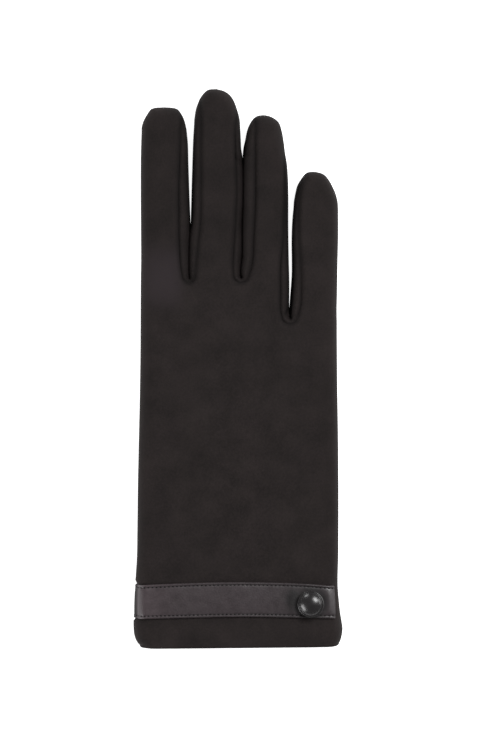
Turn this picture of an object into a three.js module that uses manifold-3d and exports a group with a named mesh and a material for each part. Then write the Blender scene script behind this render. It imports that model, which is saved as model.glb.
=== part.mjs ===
// A dress glove of stretch cloth for the right hand, lying flat on its palm with the back of the hand up.
// +Y runs to the fingertips, +X to the little finger and +Z up from the surface that it lies on.
// The origin is under the middle of the glove, at that surface. Lengths are in millimetres.
// The trank, which is the hand and the fingers, is one piece of cloth folded at the index side.
// Three fourchettes, the strips between the fingers, are let into it, and the thumb is set in the palm.
import * as THREE from 'three';
import { mergeVertices } from 'three/addons/utils/BufferGeometryUtils.js';
import Module from 'manifold-3d';

const wasm = await Module();
wasm.setup();

// Cloth and seams
const cloth = 1.1;
const seamGap = 0.3;

// Hand
const palmLength = 153.8;
const handWidth = 81.7;
const cuffWidth = 87.6;
const handHeight = 12.2;
const mouthHeight = 13.6;
const handCrown = 0.5;
const edgeRoll = 5.4;
const handShift = 0.4;
const hemDepth = 24;
const webReach = 2.3;

// Outline of the hand from the cuff edge, at 0, to the web between the index and middle fingers, at 1.
// left and right are shares of the flare from the width at the fingers to cuffWidth.
// open is the share of the way from handHeight to mouthHeight.
const handSections = [
  { at: 0, left: -0.2, right: 0.42, open: 1 },
  { at: 0.012, left: 0.55, right: 0.7, open: 1 },
  { at: 0.03, left: 0.95, right: 0.96, open: 1 },
  { at: 0.05, left: 1, right: 1, open: 1 },
  { at: 0.1, left: 0.95, right: 0.5, open: 0.9 },
  { at: 0.15, left: 0.8, right: 0.25, open: 0.8 },
  { at: 0.35, left: 0.46, right: 0.38, open: 0.35 },
  { at: 0.6, left: 0.14, right: 0.24, open: 0.1 },
  { at: 0.86, left: 0.03, right: 0, open: 0 },
  { at: 1, left: 0, right: 0, open: 0 },
];

// Fingers, from the index to the little finger, with the middle finger's length from web to tip.
// width is a share of the fingers' widths together, length of middleLength, and drop, which is how far
// a finger's outer web lies below the first web, of palmLength.
// taper and lean are shares of width that the finger loses, and moves by, where its tip begins. Both grow
// with the power fingerBow of the way there, so that the finger's edges are slightly bowed.
// tipReach and tipPower give the round of the tip: its length as a share of width, and how square it is.
const middleLength = 81.2;
const fingerHeight = 12.1;
const fingerGap = 0.4;
const fingerBow = 1.6;
const footTuck = 1.6;
const fingers = [
  { width: 0.256, length: 0.906, drop: 0, taper: 0.07, lean: -0.035, tipReach: 0.61, tipPower: 2.5 },
  { width: 0.263, length: 1, drop: 0, taper: 0.073, lean: 0.005, tipReach: 0.72, tipPower: 2.1 },
  { width: 0.241, length: 0.869, drop: 0, taper: 0.08, lean: -0.047, tipReach: 0.8, tipPower: 2.05 },
  { width: 0.24, length: 0.787, drop: 0.112, taper: 0.033, lean: 0.058, tipReach: 0.74, tipPower: 2 },
];

// Fourchettes. left and right are the shares of stripWidth that each strip shows on the back, beside the
// finger on its left and on its right. stripTaper is the share of that which it loses by the tip, squared,
// and stripInTip how far into the tip it runs. On the back a strip ends at the web in a U, uReach deep.
const stripWidth = 5.2;
const uReach = 7.5;
const stripTaper = 0.8;
const stripInTip = 0.45;
const fourchettes = [
  { name: 'fourchette_index_middle', left: 0.84, right: 0.82 },
  { name: 'fourchette_middle_ring', left: 0.54, right: 1 },
  { name: 'fourchette_ring_little', left: 0.48, right: 0.8 },
];

// Thumb, folded under the palm with its tip towards the index finger
const thumbWidth = 21;
const thumbLength = 57;
const thumbHeight = 2.6;
const thumbRoll = 2.6;
const thumbInset = 2.6;
const thumbLean = 2.4;
const thumbFromWeb = 7.5;
const thumbTipReach = 12;
const thumbTipPower = 2.3;
const thumbTongue = 23;
const archSlope = 1.6;
const archTurn = 1.25;

// Leather band round the wrist, from the side seam and back to it, and its button
const leather = 1;
const bandWidth = 14.9;
const bandFromCuff = 12.9;
const bandArch = 2.3;
const bandPeak = -0.2;
const bandFromSeam = 1.2;
const bandBedSlope = 4;
const buttonDiameter = 11.6;
const buttonHeight = 4.6;
const buttonRim = 1;
const buttonDome = 0.93;
const buttonShank = 5;
const buttonInset = 10.8;
const buttonBelowMiddle = 1.2;

// The button's profile from its shank to the foot of its dome: radius as a share of its own, up in rims
const buttonProfile = [
  { radius: 0.86, up: 1 },
  { radius: 1, up: 1.5 },
  { radius: 1, up: 2 },
  { radius: 0.95, up: 2.3 },
];

// Places that follow from the sizes
const gloveLength = palmLength + middleLength;
const cuffY = -gloveLength / 2;
const webY = cuffY + palmLength;
const handLeft = handShift - handWidth / 2;
const handRight = handShift + handWidth / 2;
const seamLevel = 0.42 * handHeight;
const clothAbove = handHeight + mouthHeight;
const rollLimit = 0.48;
const bandLow = cuffY + bandFromCuff;
const bandHigh = bandLow + bandWidth;
const buried = 5;

// A closed geometry as a solid that can be joined and cut
function solidOf(geometry) {
  const loose = geometry.index ? geometry.toNonIndexed() : geometry;
  const bare = new THREE.BufferGeometry().setAttribute('position', loose.getAttribute('position'));
  const merged = mergeVertices(bare, 1e-4);
  return new wasm.Manifold(new wasm.Mesh({
    numProp: 3,
    vertProperties: merged.attributes.position.array,
    triVerts: new Uint32Array(merged.index.array),
  }));
}

function geometryOf(solid) {
  const { vertProperties, triVerts } = solid.getMesh();
  const geometry = new THREE.BufferGeometry();
  geometry.setAttribute('position', new THREE.BufferAttribute(vertProperties, 3));
  geometry.setIndex(new THREE.BufferAttribute(triVerts, 1));
  const flat = geometry.toNonIndexed();
  flat.computeVertexNormals();
  return flat;
}

// A solid through rings of points that all have the same count, each ring flat and convex, with flat ends
function loft(rings) {
  const count = rings[0].length;
  const index = [];
  for (let r = 0; r < rings.length - 1; r++) {
    for (let i = 0; i < count; i++) {
      const a = r * count + i;
      const b = r * count + (i + 1) % count;
      index.push(a, a + count, b, b, a + count, b + count);
    }
  }
  const last = (rings.length - 1) * count;
  for (let i = 1; i < count - 1; i++) {
    index.push(0, i, i + 1);
    index.push(last, last + i + 1, last + i);
  }
  const geometry = new THREE.BufferGeometry().setFromPoints(rings.flat());
  geometry.setIndex(index);
  return solidOf(geometry);
}

// A tube's section at y: a flat foot, a round side of width roll at each edge, and a top with a low crown.
// grow moves every wall outwards, or inwards where it is below 0.
function tubeRing({ y, left, right, foot = 0, top, roll, crown, grow = 0 }) {
  const sideSteps = 3;
  const topSteps = 6;
  const [l, r] = [left - grow, right + grow];
  const round = Math.min(roll + grow, rollLimit * (r - l));
  const low = Math.min(foot - grow, seamLevel - 0.05);
  const high = Math.max(top + grow, seamLevel + 0.05);
  const brow = seamLevel + (high - seamLevel) * (1 - crown / Math.max(top - seamLevel, crown + 1));
  const ring = [new THREE.Vector3(l + round, y, low), new THREE.Vector3(r - round, y, low)];
  for (let i = 1; i < 2 * sideSteps; i++) {
    const angle = Math.PI * (i / (2 * sideSteps) - 0.5);
    const rise = angle < 0 ? seamLevel - low : brow - seamLevel;
    ring.push(new THREE.Vector3(r - round + round * Math.cos(angle), y, seamLevel + rise * Math.sin(angle)));
  }
  for (let i = 0; i <= topSteps; i++) {
    const across = 1 - 2 * i / topSteps;
    const x = (l + r) / 2 + across * ((r - l) / 2 - round);
    ring.push(new THREE.Vector3(x, y, high - (high - brow) * across * across));
  }
  for (let i = 1; i < 2 * sideSteps; i++) {
    const angle = Math.PI * (0.5 - i / (2 * sideSteps));
    const rise = angle < 0 ? seamLevel - low : brow - seamLevel;
    ring.push(new THREE.Vector3(l + round - round * Math.cos(angle), y, seamLevel + rise * Math.sin(angle)));
  }
  return ring;
}

// Value of a column of the hand's table at a share of the palm's length
function handColumn(at, column) {
  const next = handSections.findIndex((row) => row.at >= Math.min(Math.max(at, 0), 1));
  const to = handSections[Math.max(next, 1)];
  const from = handSections[Math.max(next, 1) - 1];
  return THREE.MathUtils.mapLinear(Math.min(Math.max(at, 0), 1), from.at, to.at, from[column], to[column]);
}

// Edges and heights of the hand at y, pressed in at the foot and the left edge where the band passes round.
function handAt(y) {
  const at = (y - cuffY) / palmLength;
  const fromBand = Math.max(bandLow - y, y - bandHigh, 0);
  const pressed = (leather + seamGap) * Math.max(0, 1 - fromBand / bandBedSlope);
  return {
    left: handLeft - handColumn(at, 'left') * (cuffWidth / 2 + handLeft) + pressed,
    right: handRight + handColumn(at, 'right') * (cuffWidth / 2 - handRight),
    top: handHeight + handColumn(at, 'open') * (mouthHeight - handHeight),
    foot: pressed,
  };
}

// The hand's section at y, with every wall moved by grow
function handRing(y, grow) {
  return tubeRing({ ...handAt(y), y, roll: edgeRoll, crown: handCrown, grow });
}

// Every y between two limits, themselves included, where the hand's section changes its slope
function handStations(from, to) {
  const bed = [bandLow - bandBedSlope, bandLow, bandHigh, bandHigh + bandBedSlope];
  const inside = [...handSections.map((row) => cuffY + row.at * palmLength), ...bed]
    .filter((y) => y > from + seamGap && y < to - seamGap);
  return [from, ...inside.sort((a, b) => a - b), to];
}

// Left and right edge of a finger's foot, its web and its own length
function fingerFoot(index) {
  const sum = handWidth - fingerGap * (fingers.length - 1);
  const before = fingers.slice(0, index).reduce((x, f) => x + f.width * sum + fingerGap, 0);
  const left = handLeft + before;
  return {
    left,
    right: left + fingers[index].width * sum,
    y: webY - fingers[index].drop * palmLength,
    length: fingers[index].length * middleLength,
  };
}

// Share of a finger's length where its round tip begins
function tipStart(index) {
  const { left, right, length } = fingerFoot(index);
  return 1 - fingers[index].tipReach * (right - left) / length;
}

// Edges of a finger at a share of its length, the round of its tip included
function fingerAt(index, share) {
  const { lean, taper, tipPower } = fingers[index];
  const foot = fingerFoot(index);
  const width = foot.right - foot.left;
  const straight = tipStart(index);
  const along = THREE.MathUtils.clamp(share / straight, 0, 1) ** fingerBow;
  const centre = (foot.left + foot.right) / 2 + lean * width * along;
  const into = Math.max(0, (share - straight) / (1 - straight));
  const round = Math.pow(1 - Math.pow(into, tipPower), 1 / tipPower);
  const half = width / 2 * (1 - taper * along) * round;
  return { y: foot.y + share * foot.length, left: centre - half, right: centre + half, into };
}

// Quarter round that a tip or a web closes with, 1 where it begins and 0 at its end
function closing(into) {
  return Math.sqrt(Math.max(0, 1 - into * into));
}

// A length of the hand from one y to another, with the round web at its far end
function handTube({ from, to, right, grow }) {
  const own = right === undefined ? {} : { right };
  const section = (y, change) => tubeRing({
    ...handAt(y), ...own, y, roll: edgeRoll, crown: handCrown, grow, ...change,
  });
  const rings = handStations(from, to).map((y) => section(y, {}));
  const end = { ...handAt(to), ...own };
  for (const angle of [0.4, 0.8, 1.15, 1.45]) {
    const close = Math.cos(angle);
    const tuck = edgeRoll * (1 - close) / 2;
    rings.push(section(to, {
      y: to + (webReach + grow) * Math.sin(angle),
      left: end.left + tuck,
      right: end.right - tuck,
      foot: seamLevel * (1 - close),
      top: seamLevel + (end.top - seamLevel) * close,
      crown: handCrown * close,
      grow: grow * close,
    }));
  }
  return loft(rings);
}

// A finger from inside the hand to its tip. Its buried end is a little smaller than the hand around it.
function fingerTube(index, grow) {
  const straight = tipStart(index);
  const foot = fingerFoot(index);
  const form = { roll: edgeRoll, crown: handCrown, grow };
  const rings = [tubeRing({
    ...form, y: foot.y - buried, left: foot.left + footTuck, right: foot.right - footTuck,
    foot: footTuck / 3, top: handHeight - footTuck / 3,
  })];
  const tipShares = [0.3, 0.55, 0.75, 0.9, 0.995].map((into) => straight + into * (1 - straight));
  for (const share of [0, 0.5 * straight, straight, ...tipShares]) {
    const { y, left, right, into } = fingerAt(index, share);
    const nose = 1 - edgeRoll / (foot.length * (1 - straight));
    const close = closing(Math.max(0, (into - nose) / (1 - nose)));
    const top = THREE.MathUtils.lerp(handHeight, fingerHeight, Math.min(share / straight, 1));
    rings.push(tubeRing({
      ...form, y: y + grow * into, left, right, foot: seamLevel * (1 - close),
      top: seamLevel + (top - seamLevel) * close,
    }));
  }
  return loft(rings);
}

// The whole hand and its fingers, with every wall moved by grow: 0 for the outside, -cloth for the hollow
function handSolid(grow) {
  const little = fingers.length - 1;
  const lowWeb = fingerFoot(little).y;
  const ringEdge = fingerFoot(little - 1).right;
  const body = handTube({ from: cuffY, to: lowWeb, grow })
    .add(handTube({ from: lowWeb - buried, to: webY, right: ringEdge, grow }));
  return fingers.reduce((solid, _, index) => solid.add(fingerTube(index, grow)), body);
}

// Thumb edges at a share of its length
function thumbAt(share) {
  const straight = 1 - thumbTipReach / thumbLength;
  const into = Math.max(0, (share - straight) / (1 - straight));
  const round = Math.pow(1 - Math.pow(into, thumbTipPower), 1 / thumbTipPower);
  const centre = handLeft + thumbInset + thumbWidth / 2 + thumbLean * share;
  const half = thumbWidth / 2 * round;
  const y = webY - thumbFromWeb - thumbLength * (1 - share);
  return { y, left: centre - half, right: centre + half, into };
}

// Places along the thumb for its sections: its foot, its middle and the round of its tip
function thumbShares() {
  const straight = 1 - thumbTipReach / thumbLength;
  const tip = [0.35, 0.65, 0.85, 0.97].map((into) => straight + into * (1 - straight));
  return [0, straight / 2, straight, ...tip];
}

// Half of a section with round sides, from the foot up to the top on one side of it
function roundSide(edge, side, round, middle, half) {
  const steps = 8;
  return Array.from({ length: steps + 1 }, (_, i) => {
    const angle = Math.PI * (i / steps - 0.5) * side;
    return [edge - side * round * (1 - Math.cos(angle)), middle + half * Math.sin(angle)];
  });
}

// Half of the thumb's height, which closes round at its tip
function thumbHalf(into) {
  return thumbHeight / 2 * Math.max(0.15, closing(into * into));
}

// The thumb's tube, with every wall moved in by inset
function thumbTube(inset) {
  const rings = thumbShares().map((share) => {
    const { y, left, right, into } = thumbAt(share);
    const half = thumbHalf(into) * (1 - 2 * inset / thumbHeight);
    const round = Math.min(thumbRoll - inset, rollLimit * (right - left) - inset);
    const outline = [
      ...roundSide(right - inset, 1, round, thumbHeight / 2, half),
      ...roundSide(left + inset, -1, round, thumbHeight / 2, half),
    ];
    return outline.map(([x, z]) => new THREE.Vector3(x, y - inset * into, z));
  });
  if (inset > 0) {
    rings.unshift(rings[0].map((point) => point.clone().setY(point.y - buried)));
  }
  return loft(rings);
}

// The arch that the palm makes over the thumb, grown from the thumb by grow.
// It begins just before the thumb's foot, so that the thumb's hollow opens into the hand.
function thumbArch(grow) {
  const steps = [0.28, 0.64, 1];
  const rings = thumbShares().map((share) => {
    const { y, left, right, into } = thumbAt(share);
    const top = thumbHeight / 2 + thumbHalf(into) + grow;
    const out = archSlope + grow;
    const reach = Math.min(thumbRoll + 2 * archSlope, 0.4 * (right - left));
    const edge = (side, step) => {
      const x = side > 0 ? right + out : left - out;
      const z = top * Math.sin(archTurn * step) / Math.sin(archTurn);
      return [x - side * reach * (1 - Math.cos(archTurn * step)), z];
    };
    const outline = [
      [left - out, -buried], [right + out, -buried], [right + out, 0],
      ...steps.map((step) => edge(1, step)),
      ...steps.map((step) => edge(-1, step)).reverse(),
      [left - out, 0],
    ];
    const along = share === 0 ? y - seamGap : y + grow * into;
    return outline.map(([x, z]) => new THREE.Vector3(x, along, z));
  });
  return loft(rings);
}

// A plan outline, as a solid from one height to another
function prism(points, from, to) {
  const shape = new THREE.Shape(points.map(([x, y]) => new THREE.Vector2(x, y)));
  const geometry = new THREE.ExtrudeGeometry(shape, { depth: to - from, bevelEnabled: false });
  geometry.translate(0, 0, from);
  return solidOf(geometry);
}

// One side of a fourchette's plan, from the top of its U to where it runs out at the finger's tip.
// side is 1 for the right edge of the finger on the strip's left, and -1 for the left edge of the other.
function fourchetteSide(finger, side, bottom, width) {
  const foot = fingerFoot(finger);
  const start = (bottom + uReach - foot.y) / foot.length;
  const straight = tipStart(finger);
  const points = [0, 0.33, 0.66, 1].map((step) => {
    const { y, left, right } = fingerAt(finger, THREE.MathUtils.lerp(start, straight, step));
    const show = width * Math.sqrt(1 - stripTaper * step ** 4);
    return [side > 0 ? right - show : left + show, y];
  });
  const tip = fingerAt(finger, straight + stripInTip * (1 - straight));
  return [...points, [side > 0 ? tip.right + seamGap : tip.left - seamGap, tip.y]];
}

// Plan of a fourchette, widened by grow: two lines beside the fingers, which meet in a U at the web
function fourchettePlan(index, grow) {
  const strip = fourchettes[index];
  const bottom = Math.min(fingerFoot(index).y, fingerFoot(index + 1).y);
  const middleX = fingerFoot(index + 1).left - fingerGap / 2;
  const leftSide = fourchetteSide(index, 1, bottom, strip.left * stripWidth + grow);
  const rightSide = fourchetteSide(index + 1, -1, bottom, strip.right * stripWidth + grow);
  const round = [];
  for (let i = 1; i < 10; i++) {
    const angle = Math.PI * (1 + i / 10);
    const reach = i < 5 ? middleX - leftSide[0][0] : rightSide[0][0] - middleX;
    round.push([middleX + reach * Math.cos(angle), bottom + uReach + (uReach + grow) * Math.sin(angle)]);
  }
  return [...round, ...rightSide, ...leftSide.reverse()];
}

function fourchettePrism(index, grow) {
  return prism(fourchettePlan(index, grow), -buried, clothAbove);
}

// Plan of the thumb's tongue, the end of the thumb that is let into the palm
function tonguePlan(grow) {
  const { y, left, right } = thumbAt(0);
  const centre = (left + right) / 2;
  const half = thumbWidth / 2 - thumbRoll + grow;
  const points = [[centre + half, y + cloth], [centre - half, y + cloth]];
  for (let i = 0; i <= 12; i++) {
    const angle = Math.PI * (1 + i / 12);
    points.push([centre + half * Math.cos(angle), y + (thumbTongue + grow) * Math.sin(angle)]);
  }
  return points;
}

// A sleeve that follows the hand from one y to another, with every wall moved by grow
function sleeve(from, to, grow) {
  return loft(handStations(from, to).map((y) => handRing(y, grow)));
}

// The hem is turned in, so the mouth is narrower by one more cloth as far as hemDepth.
function mouth() {
  return sleeve(cuffY - buried, cuffY + hemDepth + cloth, -2 * cloth);
}

// The band's plan: its upper edge is highest at bandPeak, a share of the way to the right edge, and falls
// from there by bandArch towards the button.
// It stops short of the side seam, where its two ends are sewn in.
function bandPlan() {
  const reach = cuffWidth / 2;
  const seam = handAt((bandLow + bandHigh) / 2).right - bandFromSeam;
  const edge = [-1.2, -0.9, -0.5, -0.1, 0.3, 0.6].map((share) => {
    const fall = ((share - bandPeak) / (1 - bandPeak)) ** 2;
    return [share * reach, bandHigh - bandArch * Math.min(1, fall)];
  });
  return [[-2 * reach, bandLow], [seam, bandLow], [seam, bandHigh - bandArch], ...edge.reverse(),
    [-2 * reach, edge[0][1]]];
}

function bandSolid() {
  return sleeve(bandLow, bandHigh, seamGap + leather)
    .subtract(sleeve(bandLow - cloth, bandHigh + cloth, seamGap))
    .intersect(prism(bandPlan(), -buried, clothAbove));
}

// Domed button with a rim, turned about its own axis, on a shank that stands on the band
function buttonGeometry() {
  const radius = buttonDiameter / 2;
  const foot = buttonProfile[buttonProfile.length - 1].up * buttonRim;
  const profile = [[0, 0], [buttonShank / 2, 0], [buttonShank / 2, buttonRim]];
  for (const { radius: share, up } of buttonProfile) {
    profile.push([share * radius, up * buttonRim]);
  }
  for (const angle of [0.3, 0.6, 0.9, 1.2]) {
    profile.push([buttonDome * radius * Math.cos(angle), foot + (buttonHeight - foot) * Math.sin(angle)]);
  }
  profile.push([0, buttonHeight]);
  const geometry = new THREE.LatheGeometry(profile.map(([r, z]) => new THREE.Vector2(r, z)), 24);
  geometry.rotateX(Math.PI / 2);
  return geometryOf(solidOf(geometry));
}

// Solids of the glove
const hollow = handSolid(-cloth)
  .subtract(sleeve(cuffY, cuffY + hemDepth, 0))
  .add(mouth())
  .subtract(thumbArch(seamGap + cloth));
const shell = handSolid(0)
  .subtract(thumbArch(seamGap))
  .subtract(hollow);
const trank = fourchettes.reduce((solid, _, i) => solid.subtract(fourchettePrism(i, seamGap)), shell)
  .subtract(prism(tonguePlan(seamGap), -buried, cloth + seamGap));
const thumb = thumbTube(0)
  .subtract(thumbTube(cloth))
  .add(prism(tonguePlan(0), 0, cloth));

// Materials, from the photograph
const knit = new THREE.MeshStandardMaterial({ color: 0x2a2624, roughness: 0.9, metalness: 0 });
const hide = new THREE.MeshStandardMaterial({ color: 0x383032, roughness: 0.45, metalness: 0 });
const gloss = new THREE.MeshStandardMaterial({ color: 0x1c191a, roughness: 0.15, metalness: 0.1 });

const glove = new THREE.Group();

function place(name, geometry, material) {
  const mesh = new THREE.Mesh(geometry, material);
  mesh.name = name;
  glove.add(mesh);
  return mesh;
}

place('trank', geometryOf(trank), knit);
fourchettes.forEach(({ name }, i) => {
  place(name, geometryOf(shell.intersect(fourchettePrism(i, 0))), knit);
});
place('thumb', geometryOf(thumb), knit);
place('wrist_band', geometryOf(bandSolid()), hide);

const buttonY = (bandLow + bandHigh) / 2 - buttonBelowMiddle;
const seat = handAt(buttonY);
const button = place('button', buttonGeometry(), gloss);
button.position.set(seat.right - buttonInset, buttonY, seat.top + leather + 2 * seamGap);

export default glove;
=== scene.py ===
import math

import bmesh
import bpy
import numpy as np
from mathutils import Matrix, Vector


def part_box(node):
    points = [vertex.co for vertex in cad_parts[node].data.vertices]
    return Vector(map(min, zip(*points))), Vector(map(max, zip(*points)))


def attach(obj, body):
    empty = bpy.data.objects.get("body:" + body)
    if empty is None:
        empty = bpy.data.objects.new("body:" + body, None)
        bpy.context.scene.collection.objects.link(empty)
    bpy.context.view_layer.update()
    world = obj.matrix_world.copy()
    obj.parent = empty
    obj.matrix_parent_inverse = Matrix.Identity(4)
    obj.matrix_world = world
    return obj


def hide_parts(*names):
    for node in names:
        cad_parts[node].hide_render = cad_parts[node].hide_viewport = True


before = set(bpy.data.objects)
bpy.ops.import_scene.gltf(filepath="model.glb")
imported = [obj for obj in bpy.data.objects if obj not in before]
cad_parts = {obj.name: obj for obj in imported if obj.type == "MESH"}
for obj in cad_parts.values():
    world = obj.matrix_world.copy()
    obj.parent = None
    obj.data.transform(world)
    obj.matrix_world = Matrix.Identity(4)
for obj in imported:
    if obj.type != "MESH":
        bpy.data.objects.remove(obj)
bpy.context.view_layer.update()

# Lengths are in millimetres until a mesh is made. +Y runs to the fingertips, +X to the little finger.
perMetre, millimetre = 1000, 0.001
trankLow, trankHigh = np.array(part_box("trank")) * perMetre
bandBox = np.array(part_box("wrist_band")) * perMetre
buttonBox = np.array(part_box("button")) * perMetre
cuffY = trankLow[1]
# Where the band presses the cloth: its solid's reach, moved a little towards the cuff
bandLow, bandHigh = bandBox[0][1] - 0.9, bandBox[1][1] - 0.2
print("frame loaded, glove", np.round(trankHigh - trankLow, 1))


# Shapes and curves

def ease(start, end, value):
    # 0 before start, 1 after end, and 3t^2 - 2t^3 between them
    t = np.clip((value - start) / (end - start), 0, 1)
    return t * t * (3 - 2 * t)


def curveThrough(x, xs, ys):
    # Cubic Hermite curve through the points, each with the slope of its neighbours
    xs, ys = np.asarray(xs, float), np.asarray(ys, float)
    slopes = np.gradient(ys, xs)
    i = np.clip(np.searchsorted(xs, x) - 1, 0, len(xs) - 2)
    step = xs[i + 1] - xs[i]
    t = np.clip((x - xs[i]) / step, 0, 1)
    return ((1 + 2 * t) * (1 - t) ** 2 * ys[i] + t * (1 - t) ** 2 * step * slopes[i]
            + t * t * (3 - 2 * t) * ys[i + 1] + t * t * (t - 1) * step * slopes[i + 1])


def distanceTo(x, y, path, carried):
    # Shortest distance from each point to a path of straight pieces, and the carried values at its foot
    points = np.stack([np.ravel(x), np.ravel(y)], axis=1)
    start, along = path[:-1], path[1:] - path[:-1]
    square = np.maximum((along ** 2).sum(1), 1e-12)
    gap, value = np.empty(len(points)), np.empty((len(points), carried.shape[1]))
    batch = 3000  # points at a time, which keeps the arrays small
    for first in range(0, len(points), batch):
        some = slice(first, first + batch)
        fromStart = points[some, None, :] - start
        t = np.clip((fromStart * along).sum(2) / square, 0, 1)
        reach = ((fromStart - t[..., None] * along) ** 2).sum(2)
        near = reach.argmin(1)
        rows = np.arange(len(near))
        t = t[rows, near][:, None]
        gap[some] = np.sqrt(reach[rows, near])
        value[some] = carried[near] * (1 - t) + carried[near + 1] * t
    return gap.reshape(np.shape(x)), [column.reshape(np.shape(x)) for column in value.T]


def gapTo(x, y, path):
    # The distance alone
    return distanceTo(x, y, path, np.zeros((len(path), 1)))[0]


def nearBand(y, lowInset, highInset, fall):
    # 1 under the band, from an inset at its lower edge to one at its upper edge, with a bell's fall beyond
    beyond = np.maximum(np.maximum(bandLow + lowInset - y, y - bandHigh + highInset), 0)
    return np.exp(-(beyond / fall) ** 2)


def gridFaces(rows, columns, first=0, flip=False):
    # Quads of a grid of points numbered row by row
    corner = first + (np.arange(rows - 1)[:, None] * columns + np.arange(columns - 1)).ravel()
    order = [0, 1, columns + 1, columns]
    return corner[:, None] + np.array(order[::-1] if flip else order)


def ringFaces(rows, columns, first=0, flip=False):
    # Quads of a grid whose last column joins the first
    i = np.arange(columns)
    after = (i + 1) % columns
    row = first + np.arange(rows - 1)[:, None] * columns
    quads = np.stack([row + i, row + after, row + columns + after, row + columns + i], axis=2).reshape(-1, 4)
    return quads[:, ::-1] if flip else quads


def makePiece(name, points, faces, material, node, wall=0.0, masks=None):
    # Mesh of the points, its doubles merged, with a wall grown inwards where one is given
    mesh = bpy.data.meshes.new(name)
    mesh.from_pydata((np.asarray(points) * millimetre).tolist(), [], [list(face) for face in faces])
    for mask, values in (masks or {}).items():
        mesh.attributes.new(mask, "FLOAT", "POINT").data.foreach_set("value", np.ravel(values))
    work = bmesh.new()
    work.from_mesh(mesh)
    bmesh.ops.remove_doubles(work, verts=work.verts, dist=2e-6)
    bmesh.ops.dissolve_degenerate(work, edges=work.edges, dist=1e-6)
    work.to_mesh(mesh)
    work.free()
    mesh.polygons.foreach_set("use_smooth", np.ones(len(mesh.polygons), bool))
    mesh.materials.append(material)
    piece = bpy.data.objects.new(name, mesh)
    bpy.context.scene.collection.objects.link(piece)
    if wall:
        solid = piece.modifiers.new("wall", "SOLIDIFY")
        solid.thickness = wall * millimetre
        solid.offset = -1
    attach(piece, "root")
    if node:
        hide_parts(node)
    return piece


# Outline of the hand and the fingers, seen from above

hand = {
    # above the cuff, left edge, right edge
    "outline": [
        (0, -39.4, 42.2), (0.5, -40.4, 42.55), (1.2, -41.35, 42.95), (2.1, -42.15, 43.4),
        (3.4, -42.85, 43.8), (5.3, -43.45, 44.15), (7.5, -43.75, 44.35), (10.4, -43.85, 43.95),
        (14.2, -43.65, 43.35), (20, -43.4, 42.75), (26, -43.2, 42.3), (30, -42.9, 42.3),
        (37, -42.45, 42.5), (50, -42.2, 42.6), (70, -41.95, 42.6), (92, -41.45, 42.4),
        (112, -41.05, 42.1), (124, -40.9, 42.0), (136.6, -40.83, 41.95), (153.8, -40.75, 42.15),
    ],
    # how much higher the cuff lies at the right, half its width, and how far up that is felt
    "cuffSlant": 0.42, "cuffHalf": 43.5, "slantLength": 22,
    # how far the band presses in the palm and the left edge, each with its insets and its fall
    "bedDepth": 1.25, "bedReach": (0, 0, 1.3),
    "leftDepth": 1.15, "leftReach": (0.6, 1.2, 0.6),
}

# Each finger's edges as (above the cuff, x) up to its tip, the tip's centre, the outline's distance from
# there every 15 degrees from the right over the top to the left, and how round the cloth is at both edges
fingers = [
    {"foot": 153.8, "rounds": (4.8, 4.6), "centre": (-30.82, 217.22),
     "tip": [9.49, 9.4, 9.78, 10.36, 11.05, 10.6, 10.3, 10.66, 11.07, 10.3, 9.92, 9.75, 9.6],
     "left": [(153.8, -40.75), (163, -40.62), (172, -40.64), (184.4, -40.72), (197, -40.76),
              (209.6, -40.66), (213.8, -40.54)],
     "right": [(155.3, -20.4), (160, -20.57), (168, -20.57), (173, -20.37), (176.5, -20.02),
               (178.8, -19.82), (184.4, -19.97), (190.7, -20.22), (197, -20.42), (203.3, -20.63),
               (213.8, -20.98)]},
    {"foot": 153.8, "rounds": (4.6, 2.4), "centre": (-8.59, 221.43),
     "tip": [9.65, 9.58, 9.88, 10.8, 12.18, 13.23, 13.68, 14.04, 12.82, 11.32, 10.32, 9.71, 9.65],
     "left": [(155.3, -20.4), (160, -20.63), (168, -20.63), (173, -20.43), (176.5, -20.08),
              (178.8, -19.78), (184.4, -19.56), (190.7, -19.38), (197, -19.21), (203.3, -19.02),
              (209.6, -18.82), (213.8, -18.66)],
     "right": [(155.6, 1.5), (158, 1.28), (160.5, 1.38), (164, 1.88), (170, 1.98), (180, 2.03),
               (186, 2.33), (200, 2.37), (205, 2.33), (207.2, 2.12), (209.6, 1.66), (213.8, 1.45)]},
    {"foot": 153.8, "rounds": (5.0, 3.4), "centre": (11.16, 210.48),
     "tip": [8.7, 8.7, 9.3, 10.55, 12.45, 13.36, 13.78, 13.55, 11.8, 10.06, 8.86, 8.42, 8.62],
     "left": [(155.6, 1.5), (158, 1.22), (160.5, 1.32), (164, 1.82), (170, 1.92), (180, 1.97),
              (186, 2.27), (200, 2.31), (205, 2.27), (207.2, 2.22)],
     "right": [(138.6, 22.0), (141, 21.9), (143, 21.85), (145, 21.84), (151.5, 21.9), (157, 21.82),
               (163.3, 21.65), (169.6, 21.54), (181, 21.44), (190.7, 21.47), (197, 21.36),
               (203.3, 20.94)]},
    {"foot": 136.6, "rounds": (4.0, 4.8), "centre": (32.89, 186.48),
     "tip": [9.5, 9.46, 9.75, 10.4, 11.7, 13.3, 13.82, 14.01, 12.33, 10.99, 9.77, 9.26, 9.2],
     "left": [(138.6, 22.0), (141, 21.84), (142.6, 21.83), (144, 21.93), (146.5, 22.1), (151.5, 22.5),
              (157, 22.86), (163.3, 22.9), (169.6, 22.82), (175.9, 22.92), (181, 23.2)],
     "right": [(136.6, 41.95), (142.3, 41.88), (147.7, 41.98), (157, 42.15), (163.3, 42.25),
               (169.6, 42.42), (176, 42.5), (181, 42.48)]},
]

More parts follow.
